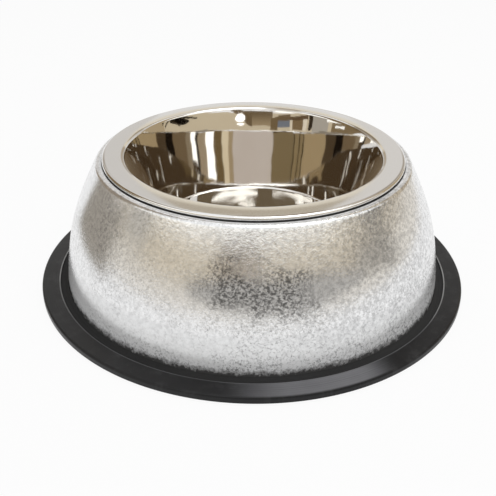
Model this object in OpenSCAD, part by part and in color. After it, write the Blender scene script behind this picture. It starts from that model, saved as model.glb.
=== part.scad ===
// Non-tip dog bowl: a drawn stainless bowl that lifts out of a flared stand on a rubber ring.
// All sizes are in millimetres. Z points up, and the origin is on the axis, on the floor.
// Every piece is a turned or drawn round shape, so each is one outline spun about Z.

/* [Feeding bowl] */
// Diameter of the mouth, where the flat rim starts to roll down into the bowl
mouth_d = 165.4; // [120:0.2:220]
// Width of the flat rim, from the mouth to its outer edge
rim_w = 11.9; // [9:0.1:20]
// Thickness of the stainless sheet
bowl_t = 0.8; // [0.5:0.1:1]
// Diameter of the rolled bead along the rim's outer edge
bead_d = 2.9; // [2.6:0.1:4.5]
// How far the bead is curled round, in degrees
bead_turn = 250; // [180:5:260]
// Radius of the roll from the rim down into the bowl
lip_r = 2.2; // [1.6:0.1:5]
// Lean of the bowl's wall right under the lip, from upright, in degrees
lip_lean = 18.4; // [16:0.1:24]
// Radius of the gentle flare that leads from the straight wall up to the lip
bowl_flare_r = 157; // [90:1:200]
// Lean of the straight wall below the flare, from upright, in degrees
bowl_lean = 12.1; // [8:0.1:15]
// Radius of the inside corner between wall and floor
corner_r = 1.2; // [1:0.1:16]
// Inside depth, from the top of the rim to the floor of the bowl
bowl_depth = 58.2; // [50:0.2:70]

/* [Stand] */
// Height of the flat seat that carries the rim, above the floor
stand_h = 82.3; // [74:0.1:110]
// Thickness of the stand's sheet
stand_t = 1; // [0.6:0.1:1.4]
// Width of the seat that shows outside the rim, out to the shoulder's corner
ledge_w = 3.7; // [3:0.1:8]
// Radius of the rounded shoulder
shoulder_round = 3; // [2:0.1:4]
// Lean of the wall at the shoulder, from upright, in degrees
shoulder_lean = 28.5; // [20:0.5:35]
// How far the wall spreads out from the shoulder's corner to the foot
flare_w = 25.1; // [20:0.1:32]
// Lean of the wall at the foot, from upright, in degrees
foot_lean = 5; // [0:0.5:10]
// Width of the flange that turns out at the foot
foot_flange_w = 7.6; // [6:0.1:9]
// Radius of the bend between wall and foot flange
foot_bend_r = 1.6; // [1:0.1:2.5]
// Depth of the collar that turns down inside the opening
collar_h = 8; // [5:0.5:15]
// Radius of the bend between seat and collar
collar_bend_r = 2; // [1.6:0.1:3]

/* [Rubber ring] */
// How far the ring reaches out from the foot of the wall
ring_reach = 16.6; // [13:0.1:24]
// Height of the ring's outer flange
ring_h = 4.2; // [3.9:0.1:7]
// Thickness of the sole under the stand's foot
sole_t = 1.1; // [0.8:0.1:1.3]
// How far the sole reaches in under the stand from the foot of the wall
sole_reach = 5; // [3:0.1:10]
// Thickness of the lip that holds the stand's foot flange down
cover_t = 0.8; // [0.6:0.1:1]
// Width of the channel between the wall and the ring's ridge
channel_w = 4.9; // [4:0.1:6]
// How far the soft lip that closes the channel reaches up the wall, above the foot bend's centre
wall_lip_h = 0.3; // [0.1:0.1:0.6]
// Width of that lip at its foot, outwards from the foot bend's centre
wall_lip_w = 0.7; // [0.4:0.1:1]
// Radius of the ring's outer top edge
ring_edge_r = 1.3; // [0.8:0.1:1.8]
// Radius of the ring's outer bottom edge
sole_edge_r = 0.6; // [0.3:0.1:1]
// Radius of the ridge beside the channel
ridge_r = 0.5; // [0.3:0.1:0.7]

/* [Fits] */
// Radial play between the bowl's wall and the stand's collar
bowl_play = 1.2; // [0.5:0.1:2]
// Gap under the bead where the bowl rests on the seat
seat_gap = 0.2; // [0.1:0.05:0.4]
// Clearance all round the foot flange in the ring's groove
grip_gap = 0.1; // [0.05:0.05:0.2]

/* [Hidden] */

arc_steps = 12;
wall_steps = 24;
spin_fn = 240;
// Length of the wall curve's two handles, as shares of the wall's height
foot_pull_share = 0.41;
shoulder_pull_share = 0.45;

// Heights
bead_r = bead_d / 2;
rim_z = stand_h + seat_gap + bead_d;
bowl_floor_z = rim_z - bowl_depth;
flange_z = sole_t + grip_gap + stand_t;
cover_z = flange_z + grip_gap;
channel_z = cover_z + cover_t;

// Radii, from the mouth outwards
mouth_r = mouth_d / 2;
rim_r = mouth_r + rim_w;
shoulder_r = rim_r + ledge_w;
foot_r = shoulder_r + flare_w;
ring_r = foot_r + ring_reach;
groove_r = foot_r + foot_flange_w + grip_gap;
sole_r = foot_r - sole_reach;
channel_r = foot_r + channel_w;

// Where the bowl's wall leaves the lip, the two ends of its flare, and where it runs into the corner
wall_top = [mouth_r - lip_r * cos(lip_lean), rim_z - lip_r + lip_r * sin(lip_lean)];
flare_centre = wall_top + bowl_flare_r * [cos(lip_lean), -sin(lip_lean)];
flare_end = flare_centre + bowl_flare_r * [-cos(bowl_lean), sin(bowl_lean)];
corner_top_z = bowl_floor_z + corner_r - corner_r * sin(bowl_lean);
corner_top_r = flare_end[0] - (flare_end[1] - corner_top_z) * tan(bowl_lean);
collar_r = wall_top[0] + bowl_t / cos(lip_lean) + bowl_play;

// Distances from each corner to where its bend starts
foot_bend_l = foot_bend_r * tan((90 - foot_lean) / 2);
shoulder_l = shoulder_round * tan((90 - shoulder_lean) / 2);

function unit(v) = v / norm(v);
function at_angle(r, a) = r * [cos(a), sin(a)];
function arc(centre, r, a_from, a_to) =
    [for (i = [0:arc_steps]) centre + at_angle(r, a_from + (a_to - a_from) * i / arc_steps)];
// The points of a path without its last one, where the next piece of the path starts on it
function but_last(path) = [for (i = [0:len(path) - 2]) path[i]];
function bezier(a, b, c, d) =
    [for (i = [1:wall_steps - 1]) let (u = i / wall_steps, v = 1 - u)
        v * v * v * a + 3 * v * v * u * b + 3 * v * u * u * c + u * u * u * d];

// Unit vector to the left of the step from point i to the next one
function left_of(path, i) = let (s = unit(path[i + 1] - path[i])) [-s[1], s[0]];
// Offset of point i that keeps the sheet's thickness t on both of its neighbouring steps
function sheet_offset(path, i, t) =
    let (last = len(path) - 1,
         before = left_of(path, max(i - 1, 0)),
         after = left_of(path, min(i, last - 1)))
    t * (before + after) / (1 + before * after);
// Closed outline of a sheet: the face that is given, and its other face to the left of it
function sheet(path, t) =
    concat(path, [for (i = [len(path) - 1:-1:0]) path[i] + sheet_offset(path, i, t)]);

// Upper face of the bowl, from the middle of its floor to the end of the curled bead
function bowl_face() = concat(
    [[0, bowl_floor_z]],
    arc([corner_top_r - corner_r * cos(bowl_lean), bowl_floor_z + corner_r], corner_r, -90, -bowl_lean),
    but_last(arc(flare_centre, bowl_flare_r, 180 - bowl_lean, 180 - lip_lean)),
    arc([mouth_r, rim_z - lip_r], lip_r, 180 - lip_lean, 90),
    arc([rim_r - bead_r, rim_z - bead_r], bead_r, 90, 90 - bead_turn));

// Outer face of the stand, from the edge of its foot flange to the bottom of its collar
foot_centre = [foot_r + foot_bend_l, flange_z + foot_bend_r];
shoulder_centre = [shoulder_r - shoulder_l, stand_h - shoulder_round];
wall_foot = foot_centre - at_angle(foot_bend_r, foot_lean);
wall_head = shoulder_centre + at_angle(shoulder_round, shoulder_lean);
wall_h = wall_head[1] - wall_foot[1];
function stand_face() = concat(
    [[foot_r + foot_flange_w, flange_z]],
    arc(foot_centre, foot_bend_r, 270, 180 + foot_lean),
    bezier(wall_foot,
        wall_foot + at_angle(foot_pull_share * wall_h, 90 + foot_lean),
        wall_head - at_angle(shoulder_pull_share * wall_h, 90 + shoulder_lean),
        wall_head),
    arc(shoulder_centre, shoulder_round, shoulder_lean, 90),
    arc([collar_r + collar_bend_r, stand_h - collar_bend_r], collar_bend_r, 90, 180),
    [[collar_r, stand_h - collar_h]]);

// Section of the ring: the sole, the rounded outer flange, the ridge, the lip against the wall, and
// the groove for the foot
function ring_section() = concat(
    [[sole_r, 0]],
    arc([ring_r - sole_edge_r, sole_edge_r], sole_edge_r, -90, 0),
    arc([ring_r - ring_edge_r, ring_h - ring_edge_r], ring_edge_r, 0, 90),
    arc([channel_r + ridge_r, ring_h - ridge_r], ridge_r, 90, 180),
    [[channel_r, channel_z],
     [foot_centre[0] + wall_lip_w, channel_z],
     foot_centre + [grip_gap - foot_bend_r, wall_lip_h]],
    arc(foot_centre, foot_bend_r - grip_gap, 180 + foot_lean, 270),
    [[groove_r, cover_z],
     [groove_r, sole_t],
     [sole_r, sole_t]]);

// Drawn stainless bowl with a flat rim and a hollow rolled bead
module feeding_bowl() {
    color("#b9b1a0") rotate_extrude($fn = spin_fn) polygon(sheet(bowl_face(), -bowl_t));
}

// Flared stand with a seat, a collar round the opening, and a flange turned out at the foot
module outer_shell() {
    color("#d6d4d0") rotate_extrude($fn = spin_fn) polygon(sheet(stand_face(), stand_t));
}

// Rubber ring that snaps over the foot flange and stands on the floor
module non_slip_ring() {
    color("#3a3a3c") rotate_extrude($fn = spin_fn) polygon(ring_section());
}

feeding_bowl();
outer_shell();
non_slip_ring();
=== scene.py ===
# %% [markdown]
# A dog bowl in three pieces
#
# A polished steel feeding bowl hangs by its flat rim in a flared metal stand. The stand is covered
# with crinkled silver leaf and grips a black rubber ring at its foot. Every piece is round, so
# every piece is one outline carried round the same axis. This lesson loads the measured model as
# a fixed frame, makes the three visible surfaces with numpy, gives them their finishes, and then
# builds a small photo studio round them. The studio matters here, because a polished bowl shows
# little else than what stands round it.

# %% Load the fixed frame
import math
import bpy
import numpy as np
from mathutils import Matrix, Vector


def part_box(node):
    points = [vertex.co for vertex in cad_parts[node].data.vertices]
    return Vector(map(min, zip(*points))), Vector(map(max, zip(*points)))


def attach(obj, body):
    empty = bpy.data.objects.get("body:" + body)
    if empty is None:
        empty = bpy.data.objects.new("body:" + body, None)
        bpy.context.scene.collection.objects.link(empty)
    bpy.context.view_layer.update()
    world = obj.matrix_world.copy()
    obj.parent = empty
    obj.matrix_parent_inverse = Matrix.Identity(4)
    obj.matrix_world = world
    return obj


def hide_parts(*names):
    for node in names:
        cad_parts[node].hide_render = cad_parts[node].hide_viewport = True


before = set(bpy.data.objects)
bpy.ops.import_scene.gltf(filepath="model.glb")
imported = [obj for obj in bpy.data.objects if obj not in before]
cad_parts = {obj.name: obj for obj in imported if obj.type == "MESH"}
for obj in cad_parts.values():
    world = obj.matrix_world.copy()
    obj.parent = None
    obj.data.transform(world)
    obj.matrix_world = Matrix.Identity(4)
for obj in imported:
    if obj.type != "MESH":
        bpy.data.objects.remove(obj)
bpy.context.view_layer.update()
MM = 0.001

# %% [markdown]
# The camera
#
# The camera comes first, because it says which sides need the most care. Its place was found by
# fitting a pinhole camera to the outlines of the ring, the rim and the seam. It stands in front
# of the bowl, looks down by 30 degrees and is rolled by about half a degree. A camera can be
# aimed with a Track To constraint, but a matrix made from its three axes also holds the roll.

# %% Camera with its fitted place and roll
CAMERA_AT = Vector((0.0, -0.4086, 0.2478))
PITCH, YAW, ROLL = math.radians(29.909), math.radians(-0.396), math.radians(0.641)

forward = Vector((math.sin(YAW) * math.cos(PITCH), math.cos(YAW) * math.cos(PITCH), -math.sin(PITCH)))
right = forward.cross(Vector((0, 0, 1))).normalized()
up = right.cross(forward)
right, up = (math.cos(ROLL) * right + math.sin(ROLL) * up,
             math.cos(ROLL) * up - math.sin(ROLL) * right)
camera = bpy.data.objects.new("camera", bpy.data.cameras.new("camera"))
bpy.context.scene.collection.objects.link(camera)
camera.data.lens, camera.data.sensor_width = 50, 36
camera.data.clip_start = 0.01
camera.matrix_world = Matrix.Translation(CAMERA_AT) @ Matrix((right, up, -forward)).transposed().to_4x4()
bpy.context.scene.camera = camera
print("camera at", tuple(CAMERA_AT), "lens", camera.data.lens)

# %% [markdown]
# Outlines as arrays
#
# A drawn or spun sheet has one smooth face, and its other face lies one thickness away. So a
# sheet's outline needs only the points of one face: the other one is worked out. Arcs and one
# Bezier curve give all the points, in millimetres, as pairs of radius and height. These are the
# same sizes as in the measured model, with more points, because a mirror shows every flat spot.

# %% Helpers for outlines
def arc(centre, radius, start, end, steps):
    """Point at angle a on a circle: centre + radius * (cos a, sin a), for angles in even steps."""
    a = np.radians(np.linspace(start, end, steps + 1))
    return np.asarray(centre) + radius * np.stack([np.cos(a), np.sin(a)], 1)


def bezier(p0, p1, p2, p3, steps):
    """Cubic curve: each point is the mean of four points, weighted with the terms of (v + u)^3, v = 1 - u."""
    u = np.linspace(0, 1, steps + 1)[1:-1, None]
    v = 1 - u
    return v**3 * p0 + 3 * v**2 * u * p1 + 3 * v * u**2 * p2 + u**3 * p3


def sheet(face, thickness):
    """Closed outline of a sheet: the face, then its copy moved sideways by the thickness, walked backwards.
    Each point moves along the mean of its two steps' left normals, made longer in the bends."""
    step = np.diff(face, axis=0)
    left = np.stack([-step[:, 1], step[:, 0]], 1) / np.linalg.norm(step, axis=1)[:, None]
    before, after = np.vstack([left[:1], left]), np.vstack([left, left[-1:]])
    push = (before + after) / (1 + (before * after).sum(1))[:, None]
    return np.vstack([face, (face + thickness * push)[::-1]])


def hold_flats(outline, closed, hold=0.12, longest=0.9):
    """Two extra points near the ends of each long straight run, so that smooth shading stays in the bends."""
    a = outline if closed else outline[:-1]
    b = np.roll(outline, -1, axis=0) if closed else outline[1:]
    run = np.linalg.norm(b - a, axis=1)[:, None]
    unit = (b - a) / np.maximum(run, 1e-9)
    trio = np.stack([a, a + unit * hold, b - unit * hold], 1)
    keep = np.concatenate([np.ones_like(run, bool), run > longest, run > longest], 1)
    points = trio[keep]
    return points if closed else np.vstack([points, outline[-1:]])


print("a quarter circle of radius 1 ends at", arc((0, 0), 1, 0, 90, 4)[-1].round(3))

# %% [markdown]
# From outline to surface
#
# Blender could turn an outline with its Screw modifier or the spin tool. Here the surface is a
# function of two parameters instead: i walks along the outline and j walks round the axis. All
# the points are one array, and so are all the faces. Where an outline starts and ends on the
# axis, each end closes with a fan of triangles round one point.

# %% Carry an outline round the axis
def turned(name, outline, segments, closed=True, relief=None):
    """Point (i, j) is (r cos t, r sin t, z) with r and z from outline point i and t = 2 pi j / segments.
    relief is added to r and z as two arrays over (i, j). A closed outline joins its end to its start;
    an open one starts and ends on the axis."""
    p = outline * MM
    area = (p[:, 0] * np.roll(p[:, 1], -1) - np.roll(p[:, 0], -1) * p[:, 1]).sum()
    if area < 0:
        p = p[::-1]
        relief = None if relief is None else relief[::-1]
    body = p if closed else p[1:-1]
    t = 2 * np.pi * np.arange(segments) / segments
    r, z = np.repeat(body[:, :1], segments, 1), np.repeat(body[:, 1:], segments, 1)
    if relief is not None:
        r, z = r + relief[..., 0] * MM, z + relief[..., 1] * MM
    points = np.stack([r * np.cos(t), r * np.sin(t), z], -1).reshape(-1, 3)
    rows = len(body)
    i = np.arange(rows if closed else rows - 1)[:, None]
    j = np.arange(segments)[None]
    i2, j2 = (i + 1) % rows, (j + 1) % segments
    quads = np.stack([i * segments + j, i * segments + j2, i2 * segments + j2, i2 * segments + j], -1)
    faces = quads.reshape(-1, 4).tolist()
    if not closed:
        first, last = len(points), len(points) + 1
        points = np.vstack([points, [0, 0, p[0, 1]], [0, 0, p[-1, 1]]])
        j, j2 = j[0], j2[0]
        foot = (rows - 1) * segments
        faces += np.stack([np.full(segments, first), j2, j], 1).tolist()
        faces += np.stack([np.full(segments, last), foot + j, foot + j2], 1).tolist()
    mesh = bpy.data.meshes.new(name)
    mesh.from_pydata(points.tolist(), [], faces)
    mesh.polygons.foreach_set("use_smooth", np.ones(len(mesh.polygons), bool))
    mesh.set_sharp_from_angle(angle=math.radians(40))
    mesh.validate()
    piece = bpy.data.objects.new(name, mesh)
    bpy.context.scene.collection.objects.link(piece)
    triangles = sum(len(f) - 2 for f in faces)
    print(name, "has", len(points), "points and", triangles, "triangles")
    return piece


# %% [markdown]
# The feeding bowl
#
# The bowl is drawn from one round of thin stainless sheet. Its floor is flat, its wall is a
# plain cone that flares a little more near the top, and its flat rim ends in a rolled bead that
# makes the edge stiff and smooth. The rolled edge could be a separate torus, but on the real
# bowl it is the same sheet curled under, so the outline simply goes on round it. The rim is
# crowned by a fifth of a millimetre, as a pressed rim is, which splits its mirror image in bands.

# %% Sizes and outline of the bowl
MOUTH_R, RIM_W, RIM_Z = 82.7, 11.9, 85.4
BOWL_T, BEAD_R, BEAD_TURN = 0.8, 1.43, 250
LIP_R, LIP_LEAN = 2.2, 18.4
FLARE_R, WALL_LEAN = 157.0, 12.1
CROWN = 5.0
CORNER_R, FLOOR_Z = 1.2, 27.2


def lean_arm(radius, lean):
    """From a wall that leans out by an angle, the step of that length square to it: (cos, -sin) of the lean."""
    a = math.radians(lean)
    return radius * np.array([math.cos(a), -math.sin(a)])


RIM_R = MOUTH_R + RIM_W
crown_sin, crown_cos = math.sin(math.radians(CROWN)), math.cos(math.radians(CROWN))
crown_r = (RIM_W - BEAD_R + (LIP_R + BEAD_R) * crown_sin) / (2 * crown_sin)
crown_h = (crown_r - LIP_R) * (1 - crown_cos)
lip_centre = np.array([MOUTH_R, RIM_Z - LIP_R - crown_h])
wall_top = lip_centre - lean_arm(LIP_R, LIP_LEAN)
flare_centre = wall_top + lean_arm(FLARE_R, LIP_LEAN)
flare_end = flare_centre - lean_arm(FLARE_R, WALL_LEAN)
corner_z = FLOOR_Z + CORNER_R - CORNER_R * math.sin(math.radians(WALL_LEAN))
corner_end = np.array([flare_end[0] - (flare_end[1] - corner_z) * math.tan(math.radians(WALL_LEAN)), corner_z])
corner_centre = corner_end - lean_arm(CORNER_R, WALL_LEAN)
bowl_face = np.vstack([
    [[0, FLOOR_Z]],
    arc(corner_centre, CORNER_R, -90, -WALL_LEAN, 16),
    arc(flare_centre, FLARE_R, 180 - WALL_LEAN, 180 - LIP_LEAN, 16)[:-1],
    arc(lip_centre, LIP_R, 180 - LIP_LEAN, 90 + CROWN, 18),
    arc(lip_centre + (crown_r - LIP_R) * np.array([crown_sin, -crown_cos]), crown_r, 90 + CROWN, 90 - CROWN, 8)[1:-1],
    arc((RIM_R - BEAD_R, RIM_Z - BEAD_R - crown_h), BEAD_R, 90 - CROWN, 90 - BEAD_TURN, 30)])
bowl_outline = hold_flats(sheet(bowl_face, -BOWL_T), closed=False)
bowl = turned("polished_bowl", bowl_outline, 344, closed=False)
print("floor of the bowl at", FLOOR_Z, "mm, wall meets the lip at", wall_top.round(2))

# %% [markdown]
# The stand
#
# The stand is a wide ring of spun sheet: a flat seat with a collar that keeps the bowl central, a
# rounded shoulder, a wall that spreads out in one long curve, and a small flange at the foot for
# the rubber to grip. Its skin is not quite even. Leaf is laid by hand over a sheet that was
# worked by hand, so the wall has shallow dents and fine creases. The outline comes first, and is
# the same as in the measured model.

# %% Sizes and outline of the stand
STAND_Z, STAND_T = 82.3, 1.0
SHOULDER_R, SHOULDER_ROUND, SHOULDER_LEAN = 98.3, 3.0, 28.5
FOOT_R, FOOT_LEAN, FOOT_BEND_R, FOOT_FLANGE_W = 123.4, 5.0, 1.6, 7.6
FLANGE_Z = 2.2
COLLAR_H, COLLAR_BEND_R, BOWL_PLAY = 8.0, 2.0, 1.2
FOOT_PULL, SHOULDER_PULL = 0.41, 0.45
WALL_ROWS = 84

collar_r = wall_top[0] + BOWL_T / math.cos(math.radians(LIP_LEAN)) + BOWL_PLAY
foot_bend = FOOT_BEND_R * math.tan(math.radians((90 - FOOT_LEAN) / 2))
foot_centre = np.array([FOOT_R + foot_bend, FLANGE_Z + FOOT_BEND_R])
shoulder_l = SHOULDER_ROUND * math.tan(math.radians((90 - SHOULDER_LEAN) / 2))
shoulder_centre = np.array([SHOULDER_R - shoulder_l, STAND_Z - SHOULDER_ROUND])


def on_circle(radius, degrees):
    """(cos, sin) of the angle, times the radius."""
    return radius * np.array([math.cos(math.radians(degrees)), math.sin(math.radians(degrees))])


wall_foot = foot_centre - on_circle(FOOT_BEND_R, FOOT_LEAN)
wall_head = shoulder_centre + on_circle(SHOULDER_ROUND, SHOULDER_LEAN)
wall_h = wall_head[1] - wall_foot[1]
stand_face = np.vstack([
    [[FOOT_R + FOOT_FLANGE_W, FLANGE_Z]],
    arc(foot_centre, FOOT_BEND_R, 270, 180 + FOOT_LEAN, 8),
    bezier(wall_foot, wall_foot + on_circle(FOOT_PULL * wall_h, 90 + FOOT_LEAN),
           wall_head - on_circle(SHOULDER_PULL * wall_h, 90 + SHOULDER_LEAN), wall_head, WALL_ROWS),
    arc(shoulder_centre, SHOULDER_ROUND, SHOULDER_LEAN, 90, 12),
    arc((collar_r + COLLAR_BEND_R, STAND_Z - COLLAR_BEND_R), COLLAR_BEND_R, 90, 180, 6),
    [[collar_r, STAND_Z - COLLAR_H]]])
print("the wall climbs", round(wall_h, 1), "mm; the collar has radius", round(collar_r, 2))

# %% [markdown]
# The relief of the leaf
#
# Dents and creases could be left to a bump map, but then the edge of the wall would stay perfectly
# even in every view. Here they are in the mesh. White noise is filtered in its frequency plane, so
# only waves of a chosen length are left, and they close on themselves all the way round. The dents
# are a seventieth of a millimetre deep, because a mirror makes much of very little.

# %% Relief of the leaf, filtered from white noise
SEGMENTS = 640
MEAN_WALL_R = 112
DENT, CREASE = 0.014, 0.003


def filtered_noise(rows, columns, height, girth, shortest, longest, seed):
    """White noise times a band-pass in the frequency plane: waves from shortest to longest mm stay, with
    strength falling as their length falls. The result has mean 0 and spread 1."""
    white = np.random.default_rng(seed).standard_normal((rows, columns))
    fy = np.fft.fftfreq(rows, height / rows)[:, None]
    fx = np.fft.fftfreq(columns, girth / columns)[None]
    wave = 1 / np.maximum(np.hypot(fx, fy), 1e-6)
    band = (wave > shortest) & (wave < longest)
    noise = np.fft.ifft2(np.fft.fft2(white) * band * wave).real
    return (noise - noise.mean()) / noise.std()


wall_len = np.linalg.norm(np.diff(stand_face, axis=0), axis=1).sum()
rows = len(stand_face)
field = (rows * 2, SEGMENTS, wall_len * 2, 2 * math.pi * MEAN_WALL_R)
dents = filtered_noise(*field, 14, 60, seed=3)[:rows]
creases = filtered_noise(*field, 2.4, 7, seed=8)[:rows]
creased = 0.5 + 0.5 * np.tanh(filtered_noise(*field, 20, 90, seed=5)[:rows])
height = DENT * dents + CREASE * creased * creases
z_face = stand_face[:, 1]
fade = np.clip((z_face - 5) / 6, 0, 1) * np.clip((STAND_Z + 0.2 - z_face) / 3, 0, 1)
fade *= (stand_face[:, 0] > SHOULDER_R - 4)
height *= fade[:, None]
step = np.gradient(stand_face, axis=0)
step /= np.linalg.norm(step, axis=1)[:, None]
out = np.stack([step[:, 1], -step[:, 0]], 1)
face_relief = height[..., None] * out[:, None, :]
print("relief between", round(height.min(), 3), "and", round(height.max(), 3), "mm")

# %% Build the stand
INNER_EVERY = 4
inner = sheet(stand_face, STAND_T)[len(stand_face):]
stand_outline = np.vstack([stand_face, inner[::INNER_EVERY], inner[-1:]])
relief = np.zeros((len(stand_outline), SEGMENTS, 2))
relief[:len(stand_face)] = face_relief
stand = turned("leafed_stand", stand_outline, SEGMENTS, closed=True, relief=relief)

# %% [markdown]
# The rubber ring
#
# The ring is moulded in one piece of black rubber. A flat sole lies under the foot of the stand,
# a groove grips the stand's flange, and a flat flange with rounded edges reaches out over the
# floor. Beside the wall there is a shallow channel, which a thin lip closes against the metal. The
# channel's outer edge shows as a fine bright line.

# %% Sizes and outline of the ring
RING_R, RING_H, SOLE_R, SOLE_T = 140.0, 4.2, 118.4, 1.1
CHANNEL_R, CHANNEL_Z = 128.3, 3.1
GROOVE_R, COVER_Z, GRIP_GAP = 131.1, 2.3, 0.1
WALL_LIP_H, WALL_LIP_W = 0.3, 0.7
RING_EDGE_R, SOLE_EDGE_R, RIDGE_R = 1.3, 0.6, 0.5
ring_outline = np.vstack([
    [[SOLE_R, 0]],
    arc((RING_R - SOLE_EDGE_R, SOLE_EDGE_R), SOLE_EDGE_R, -90, 0, 8),
    arc((RING_R - RING_EDGE_R, RING_H - RING_EDGE_R), RING_EDGE_R, 0, 90, 12),
    arc((CHANNEL_R + RIDGE_R, RING_H - RIDGE_R), RIDGE_R, 90, 180, 8),
    [[CHANNEL_R, CHANNEL_Z], [foot_centre[0] + WALL_LIP_W, CHANNEL_Z],
     foot_centre + [GRIP_GAP - FOOT_BEND_R, WALL_LIP_H]],
    arc(foot_centre, FOOT_BEND_R - GRIP_GAP, 180 + FOOT_LEAN, 270, 8),
    [[GROOVE_R, COVER_Z], [GROOVE_R, SOLE_T], [SOLE_R, SOLE_T]]])
ring = turned("rubber_ring", hold_flats(ring_outline, closed=True), 384)

# %% [markdown]
# Shared effects
#
# Two effects are used by more than one finish, so each is a node group with its own inputs. The
# first gives fine lines that run round the axis, as polishing leaves on the steel and as the
# turned mould leaves on the rubber, and the distance from the axis. The second gives fine grain,
# on the leaf and the rubber. Both put out plain values, and each material decides what it does
# with them. A third helper, a mask between two radii, is a plain function, because every piece
# here is marked in rings.

# %% Node helpers
def node(tree, kind, inputs=None, **settings):
    """Adds a node, sets its properties, then fills its inputs with values or links."""
    made = tree.nodes.new(kind)
    for key, value in settings.items():
        setattr(made, key, value)
    for key, value in (inputs or {}).items():
        if isinstance(value, bpy.types.NodeSocket):
            tree.links.new(value, made.inputs[key])
        else:
            made.inputs[key].default_value = value
    return made


def maths(tree, operation, a, b=None, c=None):
    """One Math node; each operand is a number or a socket."""
    operands = {k: v for k, v in enumerate((a, b, c)) if v is not None}
    return node(tree, "ShaderNodeMath", operands, operation=operation).outputs[0]


def map_range(tree, value, low, high, to_low=0.0, to_high=1.0, smooth=False):
    """Value mapped from one range to another and held inside it."""
    return node(tree, "ShaderNodeMapRange",
                {"Value": value, "From Min": low, "From Max": high, "To Min": to_low, "To Max": to_high},
                interpolation_type="SMOOTHSTEP" if smooth else "LINEAR").outputs["Result"]


def ring_mask(tree, radius, middle, rise, fall):
    """1 between two radii: it climbs over the pair rise and drops over the pair fall, in mm from the middle."""
    up, down = ([(middle + offset) * MM for offset in pair] for pair in (rise, fall[::-1]))
    return maths(tree, "MULTIPLY", map_range(tree, radius, *up), map_range(tree, radius, *down))


def blend(tree, factor, a, b):
    """Colour a turned into colour b by the factor."""
    made = node(tree, "ShaderNodeMix", {"Factor": factor}, data_type="RGBA")
    for key, value in (("A", a), ("B", b)):
        socket = [s for s in made.inputs if s.name == key and s.type == "RGBA"][0]
        if isinstance(value, bpy.types.NodeSocket):
            tree.links.new(value, socket)
        else:
            socket.default_value = value
    return [s for s in made.outputs if s.type == "RGBA"][0]


def noise(tree, vector, scale, detail=3.0, roughness=0.5, distortion=0.0):
    """Fractal noise from 0 to 1; scale is in waves per metre."""
    return node(tree, "ShaderNodeTexNoise", {"Vector": vector, "Scale": scale, "Detail": detail,
                "Roughness": roughness, "Distortion": distortion}).outputs["Fac"]


def effect(name, sockets_in, sockets_out):
    """An empty node group with float inputs (name, value) and outputs; returns its tree and two end nodes."""
    tree = bpy.data.node_groups.new(name, "ShaderNodeTree")
    for label, value in sockets_in:
        socket = tree.interface.new_socket(label, in_out="INPUT", socket_type="NodeSocketFloat")
        socket.default_value = value
    for label in sockets_out:
        tree.interface.new_socket(label, in_out="OUTPUT", socket_type="NodeSocketFloat")
    return tree, tree.nodes.new("NodeGroupInput"), tree.nodes.new("NodeGroupOutput")


def use(tree, group, **inputs):
    """Places a node group in a tree and fills its inputs."""
    made = tree.nodes.new("ShaderNodeGroup")
    made.node_tree = group
    for key, value in inputs.items():
        made.inputs[key.replace("_", " ")].default_value = value
    return made


# %% Group: lines that run round the axis
turned_lines, given, put = effect("turned_lines", [("Lines per metre", 2500.0), ("Break up", 0.3)],
                                  ["Height", "Wear", "Radius"])
place = node(turned_lines, "ShaderNodeTexCoord").outputs["Object"]
xyz = node(turned_lines, "ShaderNodeSeparateXYZ", {"Vector": place})
radius = maths(turned_lines, "SQRT", maths(turned_lines, "ADD",
               maths(turned_lines, "MULTIPLY", xyz.outputs["X"], xyz.outputs["X"]),
               maths(turned_lines, "MULTIPLY", xyz.outputs["Y"], xyz.outputs["Y"])))
slow = node(turned_lines, "ShaderNodeCombineXYZ", {
    "X": maths(turned_lines, "MULTIPLY", radius, given.outputs["Lines per metre"]),
    "Y": maths(turned_lines, "MULTIPLY", xyz.outputs["Z"], given.outputs["Lines per metre"])}).outputs[0]
lines = noise(turned_lines, slow, 1.0, detail=2.0, roughness=0.7)
smudges = noise(turned_lines, place, 24.0, detail=4.0, roughness=0.6)
worn = map_range(turned_lines, smudges, 0.35, 0.7)
mixed = maths(turned_lines, "MULTIPLY_ADD", worn, given.outputs["Break up"], lines)
turned_lines.links.new(mixed, put.inputs["Height"])
turned_lines.links.new(worn, put.inputs["Wear"])
turned_lines.links.new(radius, put.inputs["Radius"])

# %% Group: fine grain
fine_grain, given, put = effect("fine_grain", [("Grains per metre", 1200.0), ("Patches per metre", 40.0)],
                                ["Grain", "Patches"])
place = node(fine_grain, "ShaderNodeTexCoord").outputs["Object"]
fine_grain.links.new(noise(fine_grain, place, given.outputs["Grains per metre"], 3.0, 0.65), put.inputs["Grain"])
fine_grain.links.new(noise(fine_grain, place, given.outputs["Patches per metre"], 4.0, 0.6), put.inputs["Patches"])
print("effects:", turned_lines.name, fine_grain.name)

# %% [markdown]
# Polished stainless
#
# The bowl is polished until it mirrors, so its colour comes from what stands round it. A warm
# tint, faint lines left by the polishing wheel and soft smudges keep it from looking like perfect
# chrome. The flat rim has a satin finish. The wall wavers a little, as drawn sheet does, and is
# polished a little less sharply than the floor.
#
# Two brown lines stand for what the steel mirrors where it bends sharply: one on the roll into the
# bowl and one on the rim's outer bend. Cards could be placed for them, but such a narrow strip of
# mirror sees nearly the whole room, so the tint is the simpler way. The renderer follows a ray for
# four mirrorings and then gives black. Deep in the bowl light goes on longer, so after the fourth
# mirroring the steel gives off the mean brown of the room.

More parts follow.
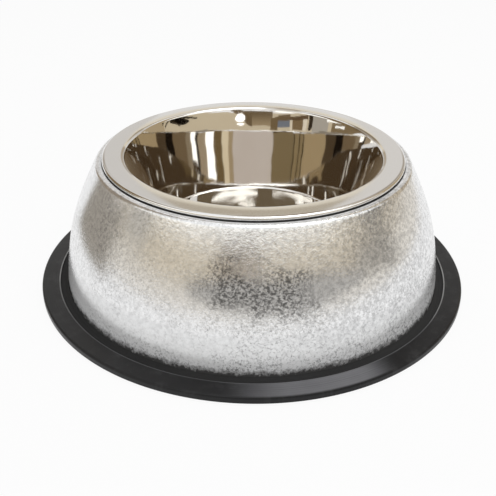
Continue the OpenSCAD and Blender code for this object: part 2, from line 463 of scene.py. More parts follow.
# %% Material: polished stainless
def surface(name, **values):
    """A material with one Principled BSDF, whose plain values are set on its own sockets."""
    made = bpy.data.materials.new(name)
    made.use_nodes = True
    tree = made.node_tree
    tree.nodes.clear()
    shader = node(tree, "ShaderNodeBsdfPrincipled", values)
    out = node(tree, "ShaderNodeOutputMaterial")
    tree.links.new(shader.outputs["BSDF"], out.inputs["Surface"])
    return made, tree, shader


WARM, SMUDGED, SATIN = (0.825, 0.812, 0.790, 1), (0.800, 0.782, 0.755, 1), (0.845, 0.842, 0.835, 1)
ROLL_BROWN, BEND_BROWN = (0.360, 0.300, 0.220, 1), (0.330, 0.270, 0.190, 1)
NO_GLOW, ROOM_BROWN = (0, 0, 0, 1), (0.120, 0.091, 0.060, 1)
WALL_FROM, WALL_TO, WALL_SOFTER = 64, 69, 0.026

steel, tree, shader = surface("polished_stainless", Metallic=1.0)
place = node(tree, "ShaderNodeTexCoord").outputs["Object"]
polish = use(tree, turned_lines, Lines_per_metre=2200.0, Break_up=0.25)
radius = polish.outputs["Radius"]
on_rim = map_range(tree, radius, (MOUTH_R - 0.4) * MM, (MOUTH_R + 0.8) * MM, smooth=True)
tint = blend(tree, polish.outputs["Wear"], WARM, SMUDGED)
tint = blend(tree, on_rim, tint, SATIN)
roll = ring_mask(tree, radius, MOUTH_R, (-2.4, -1.4), (-0.4, 0.4))
roll = maths(tree, "MULTIPLY", roll, map_range(tree, noise(tree, place, 24.0, 3.0), 0.44, 0.54, 0.0, 0.8))
tint = blend(tree, roll, tint, ROLL_BROWN)
bend = ring_mask(tree, radius, RIM_R, (-2.3, -1.6), (-1.2, -0.7))
bend = maths(tree, "MULTIPLY", bend, map_range(tree, noise(tree, place, 9.0, 2.0), 0.44, 0.52, 0.0, 0.8))
tint = blend(tree, bend, tint, BEND_BROWN)
tree.links.new(tint, shader.inputs["Base Color"])
gloss = map_range(tree, polish.outputs["Height"], 0.2, 1.0, 0.012, 0.035)
satin = map_range(tree, polish.outputs["Height"], 0.2, 1.0, 0.11, 0.19)
on_wall = map_range(tree, radius, WALL_FROM * MM, WALL_TO * MM, smooth=True)
gloss = maths(tree, "MULTIPLY_ADD", on_wall, WALL_SOFTER, gloss)
gloss = maths(tree, "MULTIPLY_ADD", on_rim, maths(tree, "SUBTRACT", satin, gloss), gloss)
tree.links.new(gloss, shader.inputs["Roughness"])
swell = maths(tree, "MULTIPLY", noise(tree, place, 62.0, 1.0), on_wall)
waver = node(tree, "ShaderNodeBump", {"Strength": 1.0, "Distance": 0.00009, "Height": swell})
dent = node(tree, "ShaderNodeBump", {"Strength": 0.02, "Distance": 0.00002, "Height": polish.outputs["Height"],
            "Normal": waver.outputs["Normal"]})
tree.links.new(dent.outputs["Normal"], shader.inputs["Normal"])
after_four = map_range(tree, node(tree, "ShaderNodeLightPath").outputs["Ray Depth"], 3.4, 3.6)
tree.links.new(blend(tree, after_four, NO_GLOW, ROOM_BROWN), shader.inputs["Emission Color"])
shader.inputs["Emission Strength"].default_value = 1.0
bowl.data.materials.append(steel)

# %% [markdown]
# Silver leaf
#
# Leaf is metal beaten so thin that it wrinkles when it is laid. Up close it is a field of short
# creases, and under a lacquer they catch light and dark from all sides, which reads as speckle.
# A picture of real leaf could be wrapped on, but here two noises and a cell pattern stand for
# it: fine grain, short creases from the edges of distorted cells, and patches where the leaf lies
# smooth. Grain and creases drive the bump.

# %% Material: silver leaf
leaf, tree, shader = surface("silver_leaf", **{"Coat Weight": 0.1, "Coat Roughness": 0.1})
place = node(tree, "ShaderNodeTexCoord").outputs["Object"]
grain = use(tree, fine_grain, Grains_per_metre=760.0, Patches_per_metre=26.0)
warp = node(tree, "ShaderNodeTexNoise", {"Vector": place, "Scale": 420.0, "Detail": 2.0}).outputs["Color"]
bent = node(tree, "ShaderNodeVectorMath", {0: warp, 1: (0.0030, 0.0030, 0.0030), 2: place},
            operation="MULTIPLY_ADD").outputs["Vector"]
cells = node(tree, "ShaderNodeTexVoronoi", {"Vector": bent, "Scale": 470.0},
             feature="DISTANCE_TO_EDGE").outputs["Distance"]
crease = map_range(tree, cells, 0.0, 0.16, 1.0, 0.0, smooth=True)
rough_patch = map_range(tree, grain.outputs["Patches"], 0.40, 0.60, 0.2, 1.0, smooth=True)
crease = maths(tree, "MULTIPLY", crease, rough_patch)
height = maths(tree, "MULTIPLY_ADD", crease, 0.25, grain.outputs["Grain"])
dent = node(tree, "ShaderNodeBump", {"Strength": 1.0, "Distance": 0.00009, "Height": height})
tree.links.new(dent.outputs["Normal"], shader.inputs["Normal"])

# %% [markdown]
# Tarnish, wear and painted light on the leaf
#
# Silver tarnishes, so a few dark flecks show through everywhere, more at the sides and low down.
# Many flecks in one patch at the front are a painted reflection of the dark room in front of the
# stand. Broken folds draw grey lines, most of them low on the wall. Beside the bowl's rim the leaf
# is dull from rubbing. Painted shade darkens a ragged band just above the rubber and makes the leaf
# nearly black right under the bead, which draws the seam; painted light makes the leaf whiter just
# above that band. All of it could be painted by hand on a picture of the wall, but masks from noise,
# height and radius need no picture and have no edge.

# %% Tarnish, folds, the painted reflection patch and the painted shade
# Painted reflection: a patch low on the front of the wall, filled with dense dark flecks, shows the dark room in
# front of the stand.
PATCH_SLOPE, PATCH_X = 0.15, 0.018
xyz = node(tree, "ShaderNodeSeparateXYZ", {"Vector": place}).outputs
sideways, level = xyz["X"], xyz["Z"]
at = node(tree, "ShaderNodeSeparateXYZ", {"Vector": node(tree, "ShaderNodeVectorMath", {
    0: node(tree, "ShaderNodeTexNoise", {"Vector": place, "Scale": 75.0, "Detail": 3.0}).outputs["Color"],
    1: (0.030, 0.030, 0.030), 2: place}, operation="MULTIPLY_ADD").outputs["Vector"]}).outputs
aside = maths(tree, "ABSOLUTE", maths(tree, "SUBTRACT", at["X"], PATCH_X))
slant = maths(tree, "MULTIPLY_ADD", at["X"], PATCH_SLOPE, at["Z"])
low = map_range(tree, slant, 0.0535, 0.0645, smooth=True)
high = map_range(tree, slant, 0.0855, 0.0725, smooth=True)
dark_reflection_patch = maths(tree, "MULTIPLY", maths(tree, "MULTIPLY", low, high),
                map_range(tree, aside, 0.040, 0.016, smooth=True))
dark_reflection_patch = maths(tree, "MULTIPLY", dark_reflection_patch, map_range(tree, at["Y"], 0.0, -0.04))
flecks = noise(tree, place, 680.0, 5.0, 0.8)
side = map_range(tree, maths(tree, "ABSOLUTE", sideways), 0.030, 0.065, 0.25, 0.8, smooth=True)
few = maths(tree, "MULTIPLY", map_range(tree, flecks, 0.50, 0.64),
            maths(tree, "MAXIMUM", side, map_range(tree, level, 0.018, 0.012)))
many = map_range(tree, flecks, 0.47, 0.54)
# Real flecks, a few everywhere and more at the sides and low down, joined with the dense flecks of the painted
# reflection patch.
worn = maths(tree, "MAXIMUM", maths(tree, "MULTIPLY", few, maths(tree, "MULTIPLY", rough_patch, 0.55)),
             maths(tree, "MULTIPLY", many, maths(tree, "MULTIPLY", dark_reflection_patch, 0.8)))
folds = node(tree, "ShaderNodeTexVoronoi", {"Vector": bent, "Scale": 340.0},
             feature="DISTANCE_TO_EDGE").outputs["Distance"]
folds = maths(tree, "MULTIPLY", map_range(tree, folds, 0.02, 0.15, 1.0, 0.0), map_range(tree, flecks, 0.46, 0.58))
folds = maths(tree, "MULTIPLY", folds, map_range(tree, level, 0.050, 0.036, 0.2, 1.0))
# Painted shade: a ragged dark band just above the black rubber.
ragged = maths(tree, "MULTIPLY_ADD", noise(tree, place, 300.0, 4.0, 0.8), 0.012, level)
foot = map_range(tree, ragged, 0.0148, 0.0110)
radius = use(tree, turned_lines, Lines_per_metre=2200.0).outputs["Radius"]
# Painted shade: a nearly black ring on the seat right under the bead, the shade in the seam.
seat = ring_mask(tree, radius, RIM_R, (-1.3, -0.8), (0.25, 0.55))
beside = ring_mask(tree, radius, RIM_R, (-2.5, -1.5), (1.2, 1.9))

# %% Colours and metal of the leaf
LEAF, FOOT_PAINTED_LIGHT = (0.950, 0.953, 0.957, 1), (0.985, 0.985, 0.985, 1)
MOTTLED_LEFT, MOTTLED_RIGHT = (0.760, 0.762, 0.765, 1), (0.570, 0.572, 0.575, 1)
FOLD_GREY, FLECK_DARK = (0.470, 0.470, 0.468, 1), (0.030, 0.029, 0.028, 1)
FOOT_PAINTED_SHADE, SEAM_PAINTED_SHADE = (0.100, 0.098, 0.096, 1), (0.020, 0.019, 0.018, 1)
mottled = blend(tree, map_range(tree, sideways, 0.010, 0.060, smooth=True), MOTTLED_LEFT, MOTTLED_RIGHT)
tone = blend(tree, map_range(tree, noise(tree, place, 380.0, 5.0, 0.8), 0.42, 0.60), LEAF, mottled)
# Painted light: the leaf is painted whiter low down, lifting the shade beside the rubber.
tone = blend(tree, map_range(tree, level, 0.026, 0.012, 0.0, 0.75), tone, FOOT_PAINTED_LIGHT)
tone = blend(tree, maths(tree, "MULTIPLY", folds, rough_patch), tone, FOLD_GREY)
tone = blend(tree, worn, tone, FLECK_DARK)
# Painted shade at the foot.
tone = blend(tree, foot, tone, FOOT_PAINTED_SHADE)
# Painted shade in the seam under the bead.
tone = blend(tree, seat, tone, SEAM_PAINTED_SHADE)
tree.links.new(tone, shader.inputs["Base Color"])
dull = map_range(tree, grain.outputs["Grain"], 0.3, 0.7, 0.12, 0.20)
tree.links.new(maths(tree, "MULTIPLY_ADD", beside, 0.4, dull), shader.inputs["Roughness"])
bare = map_range(tree, level, 0.010, 0.030, 0.08, 0.78)
bare = maths(tree, "MULTIPLY", bare, map_range(tree, beside, 0.0, 1.0, 1.0, 0.1))
tree.links.new(bare, shader.inputs["Metallic"])
stand.data.materials.append(leaf)

# %% [markdown]
# Black rubber
#
# Moulded rubber is dark grey rather than black, because its fine grain scatters a little light
# from every side. The mould was turned, so faint lines run round the ring. Scuffs show use. A pale
# patch at the front right is a painted sheen, and painted light makes the rubber lighter towards the
# left. The ridge beside the channel gets a painted highlight, most of all at the left and right, and
# the channel is painted one plain dark grey and made dull, as painted shade. One dark colour would
# do for the shape, but rubber without any of this looks like plastic.

# %% Material: black rubber
rubber, tree, shader = surface("black_rubber", **{"IOR": 1.5, "Specular IOR Level": 0.2})
place = node(tree, "ShaderNodeTexCoord").outputs["Object"]
at = node(tree, "ShaderNodeSeparateXYZ", {"Vector": place}).outputs
mould = use(tree, turned_lines, Lines_per_metre=1400.0, Break_up=0.2)
radius, moulded = mould.outputs["Radius"], mould.outputs["Height"]
grain = use(tree, fine_grain, Grains_per_metre=2600.0, Patches_per_metre=60.0)
tone = blend(tree, grain.outputs["Patches"], (0.007, 0.007, 0.008, 1), (0.017, 0.017, 0.018, 1))
# Painted light: the rubber grows lighter towards the left.
tone = blend(tree, map_range(tree, at["X"], 0.060, -0.140), tone, (0.027, 0.027, 0.028, 1))

# %% Scuffs, painted sheen, painted ridge highlight and painted channel shade of the rubber
flat = node(tree, "ShaderNodeVectorMath", {0: place, 1: (1, 1, 0)}, operation="MULTIPLY").outputs["Vector"]
scuffs = map_range(tree, noise(tree, flat, 90.0, 5.0, 0.75), 0.50, 0.70)
scuffs = maths(tree, "MULTIPLY", scuffs, map_range(tree, moulded, 0.3, 0.9))
tone = blend(tree, maths(tree, "MULTIPLY", scuffs, 0.5), tone, (0.090, 0.090, 0.092, 1))
# Painted sheen: a pale patch on the flat top at the front right, where the rubber mirrors the bright stand.
painted_sheen = maths(tree, "MULTIPLY", map_range(tree, at["X"], -0.018, 0.026, smooth=True),
              map_range(tree, at["X"], 0.082, 0.060, smooth=True))
painted_sheen = maths(tree, "MULTIPLY", painted_sheen, map_range(tree, at["Y"], -0.100, -0.116))
painted_sheen = maths(tree, "MULTIPLY", painted_sheen, map_range(tree, moulded, 0.2, 0.9, 0.5, 1.0))
painted_sheen = maths(tree, "MULTIPLY", painted_sheen, map_range(tree, radius, (RING_R - 0.6) * MM, (RING_R - 1.6) * MM))
tone = blend(tree, painted_sheen, tone, (0.225, 0.225, 0.238, 1))
# Painted highlight along the ridge beside the channel, strongest at the left and right.
from_ridge = maths(tree, "ABSOLUTE", maths(tree, "SUBTRACT", radius, (CHANNEL_R + 0.5) * MM))
ridge_highlight = maths(tree, "MULTIPLY", map_range(tree, from_ridge, 0.0, 0.0006, 1.0, 0.0),
               map_range(tree, mould.outputs["Wear"], 0.0, 1.0, 0.4, 1.0))
ridge = blend(tree, map_range(tree, maths(tree, "ABSOLUTE", at["X"]), 0.105, 0.125),
              (0.150, 0.150, 0.155, 1), (0.520, 0.520, 0.510, 1))
tone = blend(tree, ridge_highlight, tone, ridge)
# Painted shade: the channel is one plain dark grey; it is also made rougher.
in_channel = map_range(tree, radius, (CHANNEL_R - 0.1) * MM, (CHANNEL_R + 0.15) * MM, 1.0, 0.0)
tone = blend(tree, in_channel, tone, (0.030, 0.030, 0.030, 1))
tree.links.new(tone, shader.inputs["Base Color"])
dull = map_range(tree, mould.outputs["Wear"], 0.0, 1.0, 0.30, 0.42)
tree.links.new(maths(tree, "MULTIPLY_ADD", in_channel, 0.45, dull), shader.inputs["Roughness"])
height = maths(tree, "MULTIPLY_ADD", moulded, 0.5, grain.outputs["Grain"])
dent = node(tree, "ShaderNodeBump", {"Strength": 0.5, "Distance": 0.00006, "Height": height})
tree.links.new(dent.outputs["Normal"], shader.inputs["Normal"])
ring.data.materials.append(rubber)

# %% [markdown]
# Fixing the pieces to the frame
#
# Each new surface stands for one piece of the measured model, moves with that piece's body, and
# hides that piece. The bowl lifts out, so it rides on a body of its own; the stand and the ring
# move together.

# %% Ride and replace
for piece, body, cad_node, finish in ((bowl, "bowl", "feeding_bowl", "polished_stainless"),
                                      (stand, "stand", "outer_shell", "silver_leaf"),
                                      (ring, "stand", "non_slip_ring", "black_rubber")):
    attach(piece, body)
    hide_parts(cad_node)
    low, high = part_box(cad_node)
    mine = np.array([v.co for v in piece.data.vertices])
    off = max(np.abs(mine.min(0) - np.array(low)).max(), np.abs(mine.max(0) - np.array(high)).max())
    print(piece.name, "rides on", body, "and is within", round(off / MM, 2), "mm of its node's box")

# %% [markdown]
# Floor and light
#
# The floor and the world are plain and pale. The world is white for the camera and for anything
# mirrored, and a little dimmer where it only lights, so colours come out about as they are
# written. A big soft lamp above adds the rest. The floor is partly lit by itself for the same
# rays, which keeps it near white and still lets the shadow of the object show on it.

# %% World, lamp and floor
def seen_directly(tree):
    """1 for camera, mirror and see-through rays, and 0 for rays that only carry light."""
    path = tree.nodes.new("ShaderNodeLightPath")
    either = maths(tree, "MAXIMUM", path.outputs["Is Camera Ray"], path.outputs["Is Glossy Ray"])
    return maths(tree, "MAXIMUM", either, path.outputs["Is Transmission Ray"])


world = bpy.data.worlds.new("studio")
bpy.context.scene.world = world
world.use_nodes = True
tree = world.node_tree
tree.nodes.clear()
WORLD_LIGHT, FLOOR_GLOW = 0.55, 0.91
dim = node(tree, "ShaderNodeBackground", {"Color": (1, 1, 1, 1), "Strength": WORLD_LIGHT})
white = node(tree, "ShaderNodeBackground", {"Color": (1, 1, 1, 1), "Strength": 1.0})
both = node(tree, "ShaderNodeMixShader", {0: seen_directly(tree), 1: dim.outputs[0], 2: white.outputs[0]})
tree.links.new(both.outputs[0], node(tree, "ShaderNodeOutputWorld").inputs["Surface"])


def softbox(name, at, aim, size, watts):
    """A square area lamp at a point, turned towards another point."""
    lamp = bpy.data.lights.new(name, "AREA")
    lamp.size, lamp.energy = size, watts
    made = bpy.data.objects.new(name, lamp)
    made.location = at
    made.rotation_euler = (Vector(aim) - Vector(at)).to_track_quat("-Z", "Y").to_euler()
    bpy.context.scene.collection.objects.link(made)


softbox("top_softbox", at=(0.35, -0.1, 1.3), aim=(0, 0, 0.05), size=0.9, watts=6.0)

floor_mesh = bpy.data.meshes.new("floor")
HALF, FLOOR_AT = 6.0, -0.0002
corners = [(x * HALF, y * HALF, FLOOR_AT) for x, y in ((-1, -1), (1, -1), (1, 1), (-1, 1))]
floor_mesh.from_pydata(corners, [], [(0, 1, 2, 3)])
floor = bpy.data.objects.new("floor", floor_mesh)
bpy.context.scene.collection.objects.link(floor)
paper = bpy.data.materials.new("white_paper")
paper.use_nodes = True
tree = paper.node_tree
tree.nodes.clear()
matte = node(tree, "ShaderNodeBsdfDiffuse", {"Color": (0.93, 0.93, 0.93, 1)})
glow = node(tree, "ShaderNodeEmission", {"Color": (1, 1, 1, 1), "Strength": 1.0})
share = maths(tree, "MULTIPLY", seen_directly(tree), FLOOR_GLOW)
both = node(tree, "ShaderNodeMixShader", {0: share, 1: matte.outputs[0], 2: glow.outputs[0]})
tree.links.new(both.outputs[0], node(tree, "ShaderNodeOutputMaterial").inputs["Surface"])
floor_mesh.materials.append(paper)

# %% [markdown]
# Cards for the mirror to show
#
# A polished bowl in an all-white studio looks like white paper. Photographers stand cards and
# flags round such a thing, so that it has darks and warm tones to mirror. Each card here is a
# patch of a cylinder round the bowl with one plain colour. Its stations give an azimuth, a lower
# and an upper height, so a card can slope or taper. Azimuth 0 is the camera's side and 90 is to
# the right. Only mirror rays see the cards: they cast no shadow, give no light and don't stand
# in any view.
#
# The hollow bowl mirrors itself, so what a place in it shows depends on how often the ray was
# mirrored before. A Light Path node counts that, and each card shows itself only to rays with the
# right count and lets all others through. So the rim, the stripes down the wall and the floor of
# the bowl each have cards of their own, and one can be moved without spoiling the others.

# %% A card that counts mirrorings
def card(name, rays, colour, strength, distance, stations, head=None, reach=0.0):
    """Point (u, v) is (d sin a, -d cos a, z): a, the low z and the high z are read off the stations at u.
    rays holds the fewest and the most mirrorings after which a ray sees the card.
    head is the colour at the highest point, when the card fades upwards. Rays that come from nearer
    than reach, in metres, don't see the card."""
    stations = np.array(stations, float)
    u = np.linspace(0, len(stations) - 1, 8 * (len(stations) - 1) + 1)
    a, low, high = (np.interp(u, np.arange(len(stations)), stations[:, k]) for k in range(3))
    a = np.radians(a)[:, None] + np.zeros((1, 2))
    points = np.stack([distance * np.sin(a), -distance * np.cos(a), np.stack([low, high], 1)], -1).reshape(-1, 3)
    i = 2 * np.arange(len(u) - 1)
    mesh = bpy.data.meshes.new(name)
    mesh.from_pydata(points.tolist(), [], np.stack([i, i + 1, i + 3, i + 2], 1).tolist())
    made = bpy.data.objects.new(name, mesh)
    bpy.context.scene.collection.objects.link(made)
    paint = bpy.data.materials.new(name)
    paint.use_nodes = True
    paint.cycles.emission_sampling = "NONE"
    tree = paint.node_tree
    tree.nodes.clear()
    plain = [(c / 255) ** 2.2 for c in colour] + [1]
    glow = node(tree, "ShaderNodeEmission", {"Color": plain, "Strength": strength})
    if head is not None:
        place = node(tree, "ShaderNodeTexCoord").outputs["Object"]
        z = node(tree, "ShaderNodeSeparateXYZ", {"Vector": place}).outputs["Z"]
        tone = blend(tree, map_range(tree, z, stations[:, 1].min(), stations[:, 2].max(), smooth=True),
                     plain, [(c / 255) ** 2.2 for c in head] + [1])
        tree.links.new(tone, glow.inputs["Color"])
    path = node(tree, "ShaderNodeLightPath").outputs
    mine = maths(tree, "MULTIPLY", maths(tree, "GREATER_THAN", path["Ray Depth"], rays[0] - 0.5),
                 maths(tree, "LESS_THAN", path["Ray Depth"], rays[1] + 0.5))
    mine = maths(tree, "MULTIPLY", mine, maths(tree, "GREATER_THAN", path["Ray Length"], reach))
    through = node(tree, "ShaderNodeBsdfTransparent")
    both = node(tree, "ShaderNodeMixShader", {0: mine, 1: through.outputs[0], 2: glow.outputs[0]})
    tree.links.new(both.outputs[0], node(tree, "ShaderNodeOutputMaterial").inputs["Surface"])
    mesh.materials.append(paint)
    for ray in ("camera", "diffuse", "transmission", "volume_scatter", "shadow"):
        setattr(made, "visible_" + ray, False)


WHITE, CREAM, TAN, OLIVE = (255, 253, 247), (240, 224, 192), (178, 158, 126), (136, 119, 89)
BROWN, DARK, BLACK = (84, 69, 51), (52, 43, 33), (24, 20, 16)

# %% [markdown]
# Seen after two mirrorings: the stripes down the wall
#
# The back wall shows the front wall, which shows the room behind the bowl. So these cards stand
# behind the bowl for the back wall's stripes, and in front of it for the sides. Each is an upright
# strip of one colour, and together they go all the way round.

# %% Cards for rays mirrored twice
TWICE = [
    # name, colour, strength, distance, from azimuth, to azimuth, low z, high z
    ("wall_panel", (214, 203, 193), 1.0, 0.50, 141, 223, 0.20, 0.58),
    ("wall_tan_edge", TAN, 1.0, 0.50, 223, 232, 0.20, 0.58),
    ("wall_cream", CREAM, 1.0, 0.50, 232, 245, 0.20, 0.58),
    ("wall_olive_left", (120, 101, 70), 1.0, 0.50, 245, 262.5, 0.20, 0.58),
    ("wall_strip_light", WHITE, 2.0, 0.50, 262.5, 279.5, 0.20, 0.52),
    ("wall_grey_left", (172, 155, 130), 1.0, 0.50, 279.5, 296, 0.20, 0.50),
    ("wall_dark_line", DARK, 1.0, 0.50, 296, 301, 0.20, 0.50),
    ("wall_strip_light_far", WHITE, 2.0, 0.50, 301, 311, 0.25, 0.50),
    ("wall_under_strip", BROWN, 1.0, 0.50, 301, 311, 0.10, 0.25),
    ("wall_grey_far", (150, 135, 112), 1.0, 0.50, 311, 322, 0.10, 0.50),
    ("wall_dark_left", (122, 104, 80), 1.0, 0.50, 322, 350, 0.10, 0.50),
    ("wall_black_left", (34, 28, 22), 1.0, 0.50, 350, 368, 0.10, 0.48),
    ("wall_dark_right", (84, 70, 53), 1.0, 0.50, 8, 30, 0.10, 0.48),
    ("wall_tan_right", (176, 155, 120), 1.0, 0.50, 30, 76, 0.10, 0.50),
    ("wall_line_a", BLACK, 1.0, 0.50, 76, 78, 0.10, 0.50),
    ("wall_between_a", (150, 131, 98), 1.0, 0.50, 78, 84, 0.10, 0.50),
    ("wall_line_b", DARK, 1.0, 0.50, 84, 86, 0.10, 0.50),
    ("wall_between_b", (150, 131, 98), 1.0, 0.50, 86, 96, 0.10, 0.50),
    ("wall_line_c", DARK, 1.0, 0.50, 96, 98, 0.10, 0.50),
    ("wall_olive_right", OLIVE, 1.0, 0.50, 98, 141, 0.10, 0.55),
    ("wall_blob_a", WHITE, 1.7, 0.495, -10, 16, 0.49, 0.56),
    ("wall_blob_b", WHITE, 1.7, 0.495, -56, -30, 0.49, 0.56),
    ("wall_arrow", (60, 49, 37), 1.0, 0.50, 98, 141, 0.55, 0.72),
]
for name, colour, strength, distance, start, end, low, high in TWICE:
    card(name, (2, 2), colour, strength, distance, [(start, low, high), (end, low, high)])

# %% [markdown]
# Seen after two or more mirrorings: the floor of the bowl
#
# The floor shows the back wall, and in it lamps and windows high up. These cards are bent light
# shapes on a dark wall. They serve every ray that was mirrored at least twice.

# %% Cards for rays mirrored twice or more
DEEP = [
    ("deep_high_front", (118, 105, 86), 1.0, 0.51, [(-96, 0.52, 1.15), (86, 0.52, 1.15)]),
    ("deep_crescent", WHITE, 1.9, 0.50, [(62, 0.640, 0.647), (49, 0.648, 0.673), (37, 0.660, 0.692),
        (25, 0.670, 0.706), (13, 0.676, 0.710), (1, 0.678, 0.709), (-7, 0.684, 0.701)]),
    ("deep_second_lamp", WHITE, 1.9, 0.50, [(22, 0.721, 0.724), (18, 0.717, 0.732), (10, 0.7195, 0.738),
        (1, 0.7245, 0.740), (-4, 0.733, 0.738)]),
    ("deep_thin_light", WHITE, 1.9, 0.50, [(-29, 0.671, 0.677), (-41, 0.652, 0.661), (-56, 0.627, 0.638),
        (-67, 0.611, 0.624), (-78, 0.591, 0.603), (-92, 0.560, 0.571)]),
    ("deep_small_light", WHITE, 1.9, 0.50, [(-64, 0.640, 0.646), (-70, 0.620, 0.634), (-77, 0.608, 0.618)]),
    ("deep_grey_corner", (128, 130, 132), 1.0, 0.505, [(-60, 0.625, 0.66), (-84, 0.575, 0.61)]),
]
for name, colour, strength, distance, stations in DEEP:
    card(name, (2, 64), colour, strength, distance, stations)

# %% [markdown]
# Seen after three or more mirrorings: the sides of the bowl
#
# At the left and right the wall shows itself again and again, and every step makes the stripes
# narrower. Two dark walls and a row of thin bright streaks stand for all of that.

# %% Cards for rays mirrored three times or more
MORE = [
    ("more_low", (85, 70, 52), 1.0, 0.52, [(-180, 0.10, 0.56), (180, 0.10, 0.56)]),
    ("more_high", (84, 70, 54), 1.0, 0.52, [(86, 0.56, 1.15), (264, 0.56, 1.15)]),
    ("more_tan", (166, 145, 111), 1.0, 0.505, [(122, 0.44, 0.90), (170, 0.50, 0.90)]),
    ("more_olive", (112, 95, 68), 1.0, 0.505, [(176, 0.48, 0.90), (250, 0.48, 0.90)]),
    ("more_strip_a", WHITE, 1.6, 0.50, [(184, 0.56, 0.84), (189, 0.56, 0.84)]),
    ("more_strip_b", CREAM, 1.2, 0.50, [(206, 0.50, 0.70), (209, 0.50, 0.70)]),
]
STREAKS = [
    # azimuth, low z, high z, width in degrees, strength
    (-100, 0.36, 0.50, 2.5, 1.5), (-84, 0.44, 0.53, 6.0, 1.9), (-76, 0.33, 0.40, 3.0, 1.6),
    (-66, 0.30, 0.36, 2.0, 1.6), (-53, 0.28, 0.42, 2.6, 1.9), (-44, 0.24, 0.33, 1.8, 1.6),
    (-36, 0.28, 0.44, 2.4, 1.9), (-27, 0.22, 0.32, 1.6, 1.6), (-16, 0.24, 0.39, 2.2, 1.9),
    (-7, 0.22, 0.30, 1.6, 1.6), (4, 0.24, 0.45, 2.2, 1.9), (13, 0.22, 0.32, 1.8, 1.6),
    (23, 0.27, 0.42, 2.2, 1.9), (31, 0.24, 0.31, 1.6, 1.6), (40, 0.27, 0.41, 2.4, 1.9),
    (50, 0.26, 0.34, 2.0, 1.6), (60, 0.30, 0.46, 2.6, 1.8), (71, 0.33, 0.41, 3.0, 1.7),
    (82, 0.42, 0.55, 3.0, 1.8), (98, 0.36, 0.46, 2.5, 1.6),
]
for azimuth, low, high, width, strength in STREAKS:
    ends = [(azimuth - width / 2, low, high), (azimuth + width / 2, low + 0.01, high)]
    MORE.append(("more_streak", WHITE, strength, 0.50, ends))
for name, colour, strength, distance, stations in MORE:
    card(name, (3, 64), colour, strength, distance, stations)

# %% [markdown]
# Seen after one mirroring: the rim, the band under it and the stand
#
# The flat rim shows what is behind the bowl, the band along the back wall shows the front of the
# room, and the shiny leaf shows a blurred front of the room too. Far cards at 1.5 m serve the
# stand's shoulder, and low ones close by shade its front and sides. The lamp, the window and the
# frames would leave spots on the leaf that the photo hasn't got. The band is farther from them
# than the stand's front is, so they show themselves to long rays only.

# %% Cards for rays mirrored once, and those of them that only the band shows
BAND_REACH = 0.47
ONCE = [
    # name, colour, strength, distance, stations of azimuth, low and high
    ("rim_side_right", (219, 215, 210), 1.0, 0.50, [(132, 0.14, 0.56), (164, 0.14, 0.56)]),
    ("rim_side_left", (211, 207, 202), 1.0, 0.50, [(196, 0.14, 0.56), (228, 0.14, 0.56)]),
    ("rim_back", (228, 226, 223), 1.0, 0.50, [(164, 0.14, 0.26), (196, 0.14, 0.26)]),
    ("rim_front_cream", (229, 219, 200), 1.0, 0.50, [(164, 0.26, 0.335), (196, 0.26, 0.335)]),
    ("rim_front_tan", (182, 171, 153), 1.0, 0.50, [(164, 0.335, 0.56), (196, 0.335, 0.56)]),
    ("shoulder_light", WHITE, 1.25, 1.50, [(-92, 0.34, 1.20), (-67, 0.54, 1.20), (-48, 0.68, 1.20),
        (-31, 0.77, 1.20), (2, 0.81, 1.20), (36, 0.76, 1.20), (53, 0.67, 1.20), (90, 0.36, 1.20)]),
    ("shoulder_shade", (196, 186, 171), 1.0, 1.50, [(-60, 0.52, 0.60), (-31, 0.66, 0.75), (2, 0.69, 0.79),
        (36, 0.65, 0.74), (60, 0.53, 0.61)]),
    ("shoulder_middle", (168, 161, 150), 1.0, 1.49, [(0, 0.66, 0.78), (32, 0.66, 0.76)]),
    ("room", (202, 187, 160), 1.0, 0.51, [(-112, 0.10, 0.25), (100, 0.10, 0.25)]),
    ("room_end", (176, 158, 128), 1.0, 0.505, [(99, 0.10, 1.20), (138, 0.10, 1.20)]),
    ("room_foot", (226, 219, 207), 1.0, 0.51, [(-112, 0.0, 0.10), (132, 0.0, 0.10)]),
    ("frond_core", BLACK, 1.0, 0.49, [(69, 0.176, 0.188), (74, 0.160, 0.200), (84, 0.156, 0.206),
        (91, 0.160, 0.190)]),
    ("frond_leaf_a", BLACK, 1.0, 0.485, [(60, 0.196, 0.204), (72, 0.198, 0.212), (86, 0.212, 0.226),
        (96, 0.188, 0.198)]),
    ("frond_leaf_b", BLACK, 1.0, 0.485, [(66, 0.222, 0.230), (80, 0.236, 0.247), (92, 0.206, 0.219),
        (101, 0.140, 0.151)]),
    ("frond_leaf_c", DARK, 1.0, 0.485, [(80, 0.148, 0.158), (92, 0.172, 0.184), (98, 0.128, 0.140)]),
    ("wall_grey", (172, 165, 153), 1.0, 0.495, [(-62, 0.12, 0.26), (-80, 0.12, 0.26)]),
    ("wall_end", (128, 110, 83), 1.0, 0.494, [(-84, 0.11, 1.20), (-132, 0.11, 1.20)]),
    ("wall_light_a", WHITE, 1.3, 0.49, [(-78, 0.188, 0.204), (-88, 0.176, 0.196), (-95, 0.168, 0.176)]),
    ("wall_light_b", WHITE, 1.2, 0.49, [(-88, 0.150, 0.160), (-100, 0.138, 0.152)]),
    ("low_flag", (160, 156, 150), 1.0, 0.25, [(-30, 0.058, 0.076), (-10, 0.036, 0.096), (22, 0.032, 0.098),
        (36, 0.042, 0.088), (52, 0.054, 0.074)]),
    ("side_flag_left", (138, 129, 115), 1.0, 0.27, [(-112, -0.02, 0.10), (-74, 0.0, 0.11)]),
    ("side_flag_right", (150, 142, 128), 1.0, 0.27, [(52, 0.06, 0.108), (76, 0.04, 0.10)]),
]
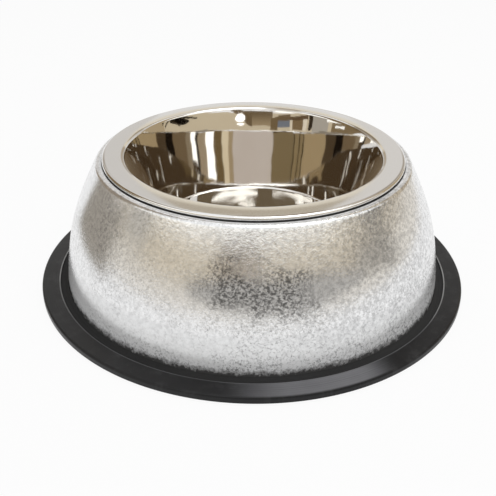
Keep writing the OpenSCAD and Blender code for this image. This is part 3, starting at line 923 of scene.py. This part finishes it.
BAND = [
    # the same columns
    ("lamp_back", (110, 93, 70), 1.0, 0.495, [(2, 0.150, 0.268), (7, 0.170, 0.268), (11, 0.205, 0.268),
        (20, 0.244, 0.268), (25, 0.262, 0.268)]),
    ("lamp", WHITE, 1.9, 0.49, [(20, 0.198, 0.212), (17, 0.188, 0.238), (12, 0.188, 0.244),
        (9, 0.200, 0.226)]),
    ("lamp_foot", WHITE, 1.7, 0.49, [(18, 0.166, 0.176), (14, 0.160, 0.180), (10, 0.166, 0.176)]),
    ("window_light", WHITE, 1.6, 0.49, [(-22, 0.252, 0.270), (-34, 0.248, 0.278), (-48, 0.252, 0.270)]),
    ("window", (118, 121, 128), 1.0, 0.49, [(-25, 0.148, 0.192), (-38, 0.150, 0.200)]),
    ("window_side", (116, 98, 72), 1.0, 0.492, [(-17, 0.13, 0.21), (-25, 0.13, 0.225)]),
    ("window_head", (112, 94, 69), 1.0, 0.492, [(-25, 0.192, 0.235), (-38, 0.20, 0.24)]),
    ("frame_head", (96, 77, 56), 1.0, 0.488, [(-38, 0.198, 0.222), (-57, 0.205, 0.236)]),
    ("frame_left", (220, 206, 182), 1.0, 0.488, [(-38, 0.132, 0.205), (-41, 0.132, 0.207)]),
    ("frame_inside", (124, 104, 77), 1.0, 0.49, [(-41, 0.132, 0.205), (-52, 0.132, 0.21)]),
    ("frame_right", (226, 214, 192), 1.0, 0.488, [(-52, 0.132, 0.21), (-56, 0.132, 0.212)]),
    ("dark_edge", DARK, 1.0, 0.486, [(-58, 0.132, 0.25), (-60, 0.132, 0.262), (-62, 0.15, 0.25)]),
]
for table, reach in ((ONCE, 0.0), (BAND, BAND_REACH)):
    for name, colour, strength, distance, stations in table:
        card(name, (0, 1), colour, strength, distance, stations, reach=reach)
card("post", (0, 1), (156, 137, 108), 1.0, 0.496, [(-19, 0.150, 0.262), (-11, 0.160, 0.266), (6, 0.160, 0.268)],
     head=(108, 92, 70))
print(1 + len(ONCE) + len(BAND) + len(TWICE) + len(DEEP) + len(MORE), "cards stand round the bowl")

# %% [markdown]
# Last lines
#
# The view transform is the plain one, so that colours are shown as they are.

# %% View
bpy.context.scene.view_settings.view_transform = "Standard"
